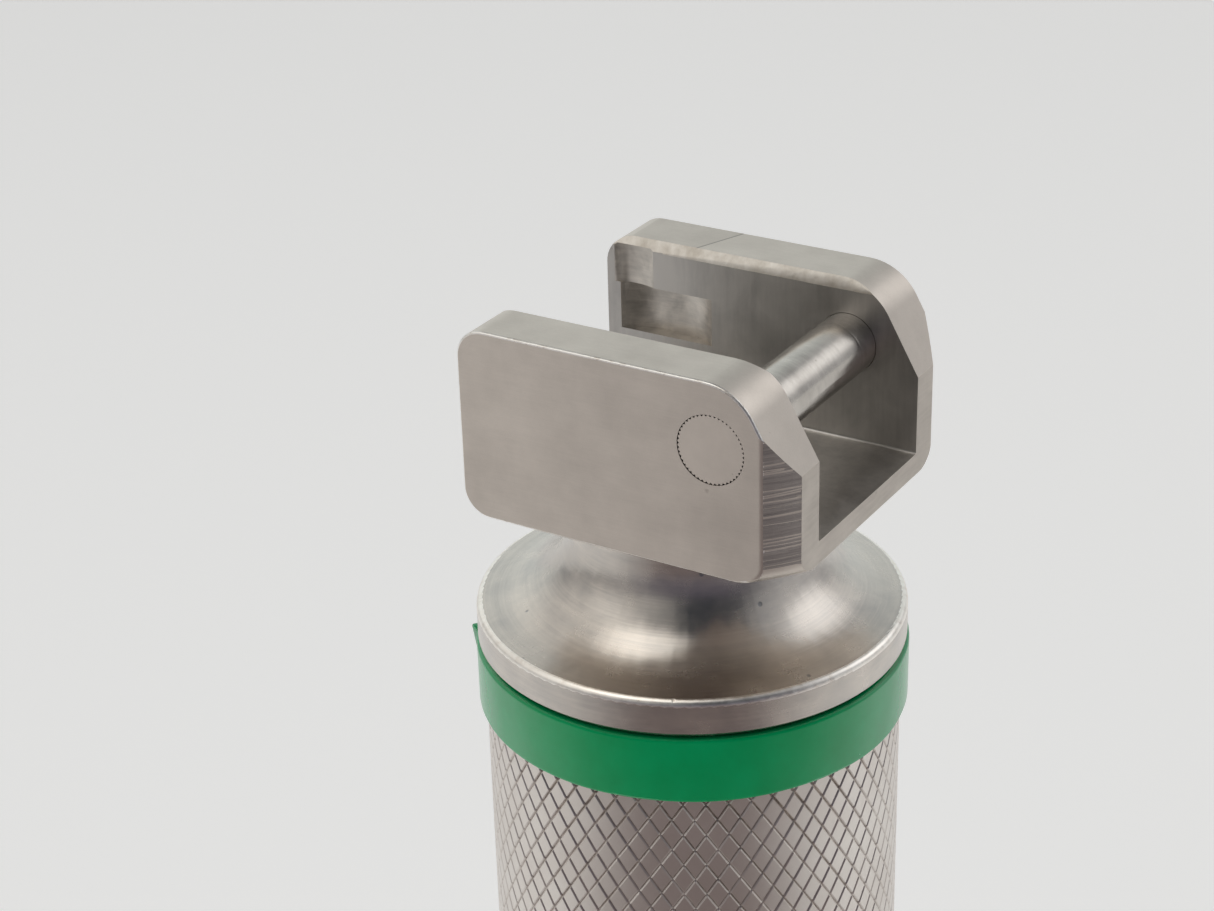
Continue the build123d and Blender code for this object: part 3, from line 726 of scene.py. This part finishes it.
def knurled_tube():
    """The battery tube, knurled over whole pitches below the ring, with its bores and lead-ins."""
    bm = bmesh.new()
    plain_foot = 0.6 * MM  # the least length left plain above the cap
    low = ring_low.z - math.floor((ring_low.z - tube_low.z - plain_foot) / KNURL_PITCH) * KNURL_PITCH
    bottom_rim, top_rim = knurl_band(bm, TUBE_R, low, ring_low.z)
    seat, bore, thread = 13.7 * MM, 13.0 * MM, 13.3 * MM  # the tube's own radii, as in part.py
    land, lead_in = TUBE_R - KNURL_DEPTH, 0.2 * MM
    top, base = tube_high.z, tube_low.z
    thread_end, thread_start = top - 7.6 * MM, base + 8 * MM
    end = run_rings(bm, top_rim, [
        (seat, ring_low.z), (seat, top - lead_in), (seat - lead_in, top), (thread, top), (thread, thread_end),
        (bore, thread_end), (bore, thread_start), (thread, thread_start), (thread, base),
        (land - lead_in, base), (land, base + lead_in), (land, low)])
    stitch(bm, end, bottom_rim)
    tube = new_piece("knurled_tube", bm, [knurl_steel()], "handle", "handle_tube")
    soft_normals(tube.data, 20, round_r=TUBE_R)


def moulded_ring():
    """The colour ring, slightly uneven as moulded, with a nib of flash at its top edge. Waves in mm."""
    profile = ((RING_SEAT_R, 0.0), (RING_R - 0.25 * MM, 0.0), (RING_R - 0.07 * MM, 0.06 * MM),
               (RING_R, 0.25 * MM), (RING_R, 0.5 * RING_H), (RING_R, RING_H - 0.22 * MM),
               (RING_R - 0.05 * MM, RING_H - 0.06 * MM), (RING_R - 0.18 * MM, RING_H), (RING_SEAT_R, RING_H))
    flash_rows = {5: 0.35, 6: 0.35, 7: 0.2}  # profile rows that the flash stands out from, in millimetres
    bm = bmesh.new()
    rings = []
    for row, (radius, height) in enumerate(profile):
        ring = []
        for k in range(RING_STEPS):
            turn = math.radians(360 * k / RING_STEPS)
            outer = 1 if radius > RING_SEAT_R else 0
            wave = 0.012 * math.sin(3 * turn + 1) + 0.008 * math.sin(7 * turn + row)
            wave += 0.005 * math.sin(23 * turn)
            sag = 0.03 * math.sin(2 * turn + 0.6) + 0.012 * math.sin(9 * turn)
            off = math.degrees(turn) - FLASH_TURN
            flash = math.exp(-(off / FLASH_WIDTH) ** 2) * flash_rows.get(row, 0)
            r = radius + (wave + flash) * outer * MM
            level = 1 if row < 4 else 0
            z = ring_low.z + height + (sag * level * outer + 0.6 * flash) * MM
            ring.append(bm.verts.new((r * math.cos(turn), r * math.sin(turn), z)))
        rings.append(ring)
    for row in range(len(rings)):
        stitch(bm, rings[row], rings[(row + 1) % len(rings)])
    piece = new_piece("moulded_ring", bm, [green_plastic()], "handle", "colour_ring")
    soft_normals(piece.data, 50)


def head_materials():
    """In the order of head_region's names."""
    return [ground_steel(), turned_steel(), striated_steel(), milled_steel(), edge_highlight_steel(), flared_steel(),
            pocket_steel(), rim_highlight_steel(), thread_steel(), ground_steel("seamed_steel", seam=True),
            # slot_floor_steel is the milled steel painted 1.3 times lighter: painted light on the
            # upward-facing slot floor
            shaded_front_steel(), milled_steel("slot_floor_steel", 1.3)]


def head_region(f):
    """Which tool left its marks on a face of the head, as an index into head_materials."""
    ground, turned, striated, milled, edge, flared, pocket, rim, thread, seamed, front, slot_floor = range(12)
    c, n = f.calc_center_median(), f.normal
    radius = math.hypot(c.x, c.y)
    outward = (n.x * c.x + n.y * c.y) / max(radius, WELD)
    depth = abs(c.y) - SLOT_HALF  # behind the slot's wall
    inward = n.y * math.copysign(1, c.y) < -0.1
    level = abs(n.z) > 0.9
    in_skirt = radius < 11 * MM and c.z < FLANGE_Z + 2 * MM
    if c.z < FLANGE_Z + 0.02 * MM or in_skirt:
        return thread
    if c.z < BLOCK_Z - 0.05 * MM:
        rolled = radius > FLANGE_R - 0.62 * MM and 0.05 < abs(n.z) < 0.98
        return rim if rolled else turned
    if abs(radius - CORNER_R) < 0.12 * MM and outward > 0.99:
        return striated
    if c.z > HEAD_TOP - 0.8 * MM and inward and 0.3 < n.z < 0.7:
        return flared
    sunk = 0.03 * MM < depth < 1.1 * MM and (inward or level)
    by_pocket = c.x < 0 and POCKET_LOW - 0.1 * MM < c.z < HEAD_TOP - 0.01 * MM
    if sunk and by_pocket:
        return pocket
    facing_up = n.z > 0.9
    if depth < 0.02 * MM and (inward or facing_up) and abs(n.x) < 0.9:
        return slot_floor if facing_up else milled
    if 0.6 < abs(n.y) < 0.8 and abs(c.y) > HEAD_HALF - 0.16 * MM:
        return edge
    if n.z > 0.99 and c.y > 0 and c.z > HEAD_TOP - 0.02 * MM:
        return seamed
    # faces turned to the front take the steel painted a shade darker: painted shade
    return front if n.x > 0.98 else ground


def score_corners(bm, rng):
    """Cuts uneven, nearly level scores into the turned front corners."""
    def corners():
        return [f for f in bm.faces if on_cylinder(f, CORNER_R) and f.calc_center_median().z > BLOCK_Z]

    z = BLOCK_Z + 0.4 * MM
    while z < HEAD_TOP - 0.5 * MM:
        tilt = (rng.uniform(-0.03, 0.03), rng.uniform(-0.03, 0.03), 1)
        depth, half = rng.uniform(0.004, 0.02) * MM, rng.uniform(0.03, 0.07) * MM
        for offset in (-half, half):
            cut_faces(bm, corners(), (0, 0, z + offset), tilt)
        scored = cut_faces(bm, corners(), (0, 0, z), tilt)
        inner = set(corners())
        for v in scored:
            push = 1 - (depth if inner.issuperset(v.link_faces) else 0) / CORNER_R
            v.co.x, v.co.y = v.co.x * push, v.co.y * push
        z += rng.uniform(0.2, 0.42) * MM


def ragged_flare(bm, rng):
    """Makes the flares' lower edges uneven, as a file leaves them."""
    def flares():
        return [f for f in bm.faces if f.calc_center_median().z > HEAD_TOP - FLARE_H
                and 0.45 < f.normal.z < 0.55 and 0.8 < abs(f.normal.y) < 0.9]

    reach = 8.6 * MM
    x = -reach
    while x < reach:
        for v in cut_faces(bm, flares(), (x, 0, 0), (1, 0, 0)):
            if abs(v.co.z - HEAD_TOP + FLARE_H) < 0.01 * MM:
                v.co.z += rng.uniform(-0.09, 0.05) * MM
        x += rng.uniform(0.2, 0.5) * MM


def worked_head():
    """The head with its scored corners, filed flares and a real thread on its skirt."""
    rng = random.Random(7)
    bm = copied("hook_on_head")
    score_corners(bm, rng)
    ragged_flare(bm, rng)
    low, high = head_low.z + 0.6 * MM, tube_high.z - 1.2 * MM
    swap_wall(bm, THREAD_R, low, high, thread_band(low, high, THREAD_R, THREAD_ROOT))
    bmesh.ops.triangulate(bm, faces=[f for f in bm.faces if len(f.verts) > 4])
    bm.normal_update()
    for f in bm.faces:
        f.material_index = head_region(f)
    head = new_piece("worked_head", bm, head_materials(), "head", "hook_on_head")
    soft_normals(head.data, 32, creased=(2,), softened=(4,))


def worked_cap():
    """The base cap with a knurled grip and a real thread on its spigot."""
    bm = copied("end_cap")
    grip_low, grip_high = cap_low.z + 1.6 * MM, cap_low.z + 9.4 * MM
    grip = bmesh.new()
    knurl_band(grip, TUBE_R, grip_low + 0.15 * MM, grip_high - 0.15 * MM)
    swap_wall(bm, TUBE_R, grip_low, grip_high, grip)
    low, high = tube_low.z + 1.6 * MM, cap_high.z - 0.6 * MM
    swap_wall(bm, THREAD_R, low, high, thread_band(low, high, THREAD_R, THREAD_ROOT))
    bm.normal_update()
    for f in bm.faces:
        c = f.calc_center_median()
        inside = c.z > tube_low.z - 0.01 * MM or (math.hypot(c.x, c.y) < 12 * MM and c.z > cap_low.z + 3 * MM)
        on_grip = math.hypot(c.x, c.y) > TUBE_R - 0.3 * MM and grip_low < c.z < grip_high
        f.material_index = 2 if inside else 1 if on_grip else 0
    materials = [turned_steel(), knurl_steel(), thread_steel()]
    cap = new_piece("worked_cap", bm, materials, "base_cap", "end_cap")
    soft_normals(cap.data, 24, round_r=TUBE_R)


def soft_spring():
    """The lamp plunger's return spring, seated in the head, on the head's body with a mesh of its own."""
    bm = copied("return_spring")
    spring = new_piece("soft_spring", bm, [spring_steel], "head", "return_spring")
    spring.data.shade_smooth()
    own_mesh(spring)


def long_spring():
    """The battery spring between the cells and the cap, on no body, with its place baked into its mesh."""
    bm = copied("battery_spring")
    spring = new_piece("long_spring", bm, [spring_steel], None, "battery_spring")
    spring.data.shade_smooth()
    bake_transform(spring)


def dress(material, *nodes):
    """Gives CAD nodes a material of their own."""
    for node in nodes:
        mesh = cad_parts[node].data
        mesh.materials.clear()
        mesh.materials.append(material)


# ---------------------------------------------------------------- the object
knurled_tube()
moulded_ring()
worked_head()
worked_cap()
dress(pin_steel(), "hinge_pin")
spring_steel = plain("spring_steel", (0.62, 0.60, 0.57, 1), 1.0, 0.28, 0.15, 0.003)
soft_spring()
long_spring()
dress(plain("plunger_steel", (0.72, 0.69, 0.65, 1), 1.0, 0.20, 0.12, 0.002, turned=True), "lamp_plunger")
dress(plain("turned_brass", (0.80, 0.58, 0.27, 1), 1.0, 0.25, 0.12, 0.003, turned=True),
      "guide_bush", "lamp_base", "contact_stem", "sleeve_nut")
dress(plain("nickel_plate", (0.74, 0.70, 0.63, 1), 1.0, 0.24, 0.3, 0.003), "spring_plate",
      *[f"{cell}_{part}" for cell in ("lower_cell", "upper_cell")
        for part in ("can", "positive", "negative")])
dress(plain("black_insulator", (0.035, 0.033, 0.032, 1), 0.0, 0.55, 0.15, 0.006), "lamp_insulator",
      "lower_cell_washer", "upper_cell_washer")
dress(plain("seal_rubber", (0.028, 0.028, 0.028, 1), 0.0, 0.62, 0.25, 0.01), "head_seal", "cap_seal")
dress(plain("white_acetal", (0.82, 0.81, 0.77, 1), 0.0, 0.42, 0.2, 0.004, turned=True), "cartridge_sleeve")
dress(plain("cell_filling", (0.06, 0.058, 0.056, 1), 0.0, 0.85, 0.12, 0.05), "lower_cell_core",
      "upper_cell_core")
dress(plain("solder", (0.62, 0.61, 0.60, 1), 1.0, 0.38, 0.3, 0.03), "lamp_tip")
dress(plain("tungsten", (0.34, 0.33, 0.33, 1), 1.0, 0.42, 0.06, 0.002), "lamp_filament")
dress(cell_jacket(), "lower_cell_jacket", "upper_cell_jacket")
dress(clear_glass("window_glass", (0.90, 0.95, 0.97, 1)), "light_window")
dress(clear_glass("bulb_glass", (0.97, 0.99, 1.0, 1)), "lamp_bulb")


# ---------------------------------------------------------------- floor, light and camera
def pale_floor():
    """A pale floor, partly its own light so that it is even. It dims a little away from the handle."""
    bpy.ops.mesh.primitive_plane_add(size=8)
    floor = bpy.context.object
    floor.name = "floor"
    n = Nodes("pale_floor")
    distance = n.axes()[3]
    n.set(Base_Color=(0.86, 0.86, 0.86, 1), Roughness=0.9, Emission_Color=(1, 1, 1, 1))
    n.set(Emission_Strength=n.remap(distance, 100, 700, 0.27, 0.19))
    floor.data.materials.append(n.material)


def pale_wall():
    """A pale wall far round the floor, seen by the camera alone."""
    bpy.ops.mesh.primitive_cylinder_add(radius=3.9, depth=6, vertices=96, end_fill_type="NOTHING",
                                        location=(0, 0, 2.5))
    wall = bpy.context.object
    wall.name = "wall"
    n = Nodes("pale_wall")
    n.set(Base_Color=(0, 0, 0, 1), Emission_Color=(1, 1, 1, 1), Emission_Strength=0.68,
          Specular_IOR_Level=0.0)
    wall.data.materials.append(n.material)
    for ray in ("diffuse", "glossy", "transmission", "volume_scatter", "shadow"):
        setattr(wall, "visible_" + ray, False)


def dark_card():
    """A dark curved card on the camera's side, seen only in reflections. It fades out towards its ends."""
    bm = bmesh.new()
    rings = []
    for radius, height in CARD_ROWS:
        ring = []
        for k in range(CARD_STEPS + 1):
            turn = math.radians(CARD_AZIMUTH + CARD_SPREAD * (2 * k / CARD_STEPS - 1))
            ring.append(bm.verts.new((radius * math.cos(turn), radius * math.sin(turn), height)))
        rings.append(ring)
    for low, high in zip(rings, rings[1:]):
        for k in range(CARD_STEPS):
            bm.faces.new((low[k], low[k + 1], high[k + 1], high[k]))
    mesh = bpy.data.meshes.new("dark_card")
    bm.to_mesh(mesh)
    bm.free()
    card = bpy.data.objects.new("dark_card", mesh)
    bpy.context.scene.collection.objects.link(card)
    for ray in ("camera", "diffuse", "transmission", "volume_scatter", "shadow"):
        setattr(card, "visible_" + ray, False)
    n = Nodes("dark_card")
    x, y, z, radius = n.axes()
    aim = math.radians(CARD_AZIMUTH)
    across = n.math("ADD", n.math("MULTIPLY", x, math.cos(aim)), n.math("MULTIPLY", y, math.sin(aim)))
    off = n.math("ARCCOSINE", n.math("DIVIDE", across, radius))
    cover = n.remap(off, math.radians(CARD_SPREAD), 0.0, 0.0, 1.0)
    smooth = n.math("SMOOTH_MIN", 1.0, n.math("MULTIPLY", n.math("MULTIPLY", cover, cover), 2.2), 0.6)
    n.set(Base_Color=(0, 0, 0, 1), Roughness=1.0, Specular_IOR_Level=0.0)
    n.set(Alpha=n.math("MULTIPLY", smooth, 0.9))
    warm_to_cool = n.colours(z, 108, 128, (1.0, 0.71, 0.70, 1), (1.0, 0.93, 1.2, 1))
    n.set(Emission_Color=warm_to_cool, Emission_Strength=0.125)
    mesh.materials.append(n.material)


def studio_world():
    """A plain studio as soft round lights: azimuth, elevation and half-width in degrees, strength, colour."""
    warm, white, cool = (1.03, 1.0, 0.94), (1.0, 1.0, 1.0), (0.94, 1.0, 0.98)
    lights = (
        (-117, 71, 28, 1.2, warm),  # softbox overhead, to the left of the camera
        (54, 35, 26, 0.82, white),  # softbox on the right
        (124, 5, 55, 0.74, cool),  # white wall behind
        (-112, 25, 43, 0.39, warm),
        (-168, 39, 55, 0.60, warm),  # wall on the left
        (43, 25, 61, 0.46, white),  # wall on the right
    )
    world = bpy.data.worlds.new("studio")
    bpy.context.scene.world = world
    world.use_nodes = True
    tree = world.node_tree
    tree.nodes.clear()
    output = tree.nodes.new("ShaderNodeOutputWorld")
    background = tree.nodes.new("ShaderNodeBackground")
    tree.links.new(background.outputs[0], output.inputs[0])
    direction = tree.nodes.new("ShaderNodeTexCoord").outputs["Generated"]
    total = None
    for azimuth, elevation, width, strength, colour in lights:
        a, e = math.radians(azimuth), math.radians(elevation)
        facing = tree.nodes.new("ShaderNodeVectorMath")
        facing.operation = "DOT_PRODUCT"
        tree.links.new(direction, facing.inputs[0])
        facing.inputs[1].default_value = (math.cos(a) * math.cos(e), math.sin(a) * math.cos(e), math.sin(e))
        fade = tree.nodes.new("ShaderNodeMapRange")
        fade.interpolation_type = "SMOOTHSTEP"
        tree.links.new(facing.outputs["Value"], fade.inputs["Value"])
        fade.inputs["From Min"].default_value = math.cos(math.radians(width))
        tint = tree.nodes.new("ShaderNodeVectorMath")
        tint.operation = "MULTIPLY_ADD"
        tint.inputs[0].default_value = [strength * c for c in colour]
        tree.links.new(fade.outputs[0], tint.inputs[1])
        if total is None:
            tint.inputs[2].default_value = (0.055, 0.06, 0.07)
        else:
            tree.links.new(total, tint.inputs[2])
        total = tint.outputs[0]
    tree.links.new(total, background.inputs["Color"])


def photo_camera():
    """At the photograph's angle: 26 degrees above level, 30 degrees round from the near cheek."""
    data = bpy.data.cameras.new("camera")
    data.lens = 75
    data.sensor_width = 36
    data.clip_start = 0.01
    camera = bpy.data.objects.new("camera", data)
    bpy.context.scene.collection.objects.link(camera)
    place = Vector((0.0741, -0.1280, 0.2114))
    aim = Vector((-0.00455, -0.00286, 0.13942))
    look = (aim - place).to_track_quat("-Z", "Y")
    roll = Matrix.Rotation(math.radians(-1.73), 4, "Z")
    camera.matrix_world = Matrix.Translation(place) @ look.to_matrix().to_4x4() @ roll
    bpy.context.scene.camera = camera


pale_floor()
pale_wall()
dark_card()
studio_world()
photo_camera()
bpy.context.scene.view_settings.view_transform = "Standard"
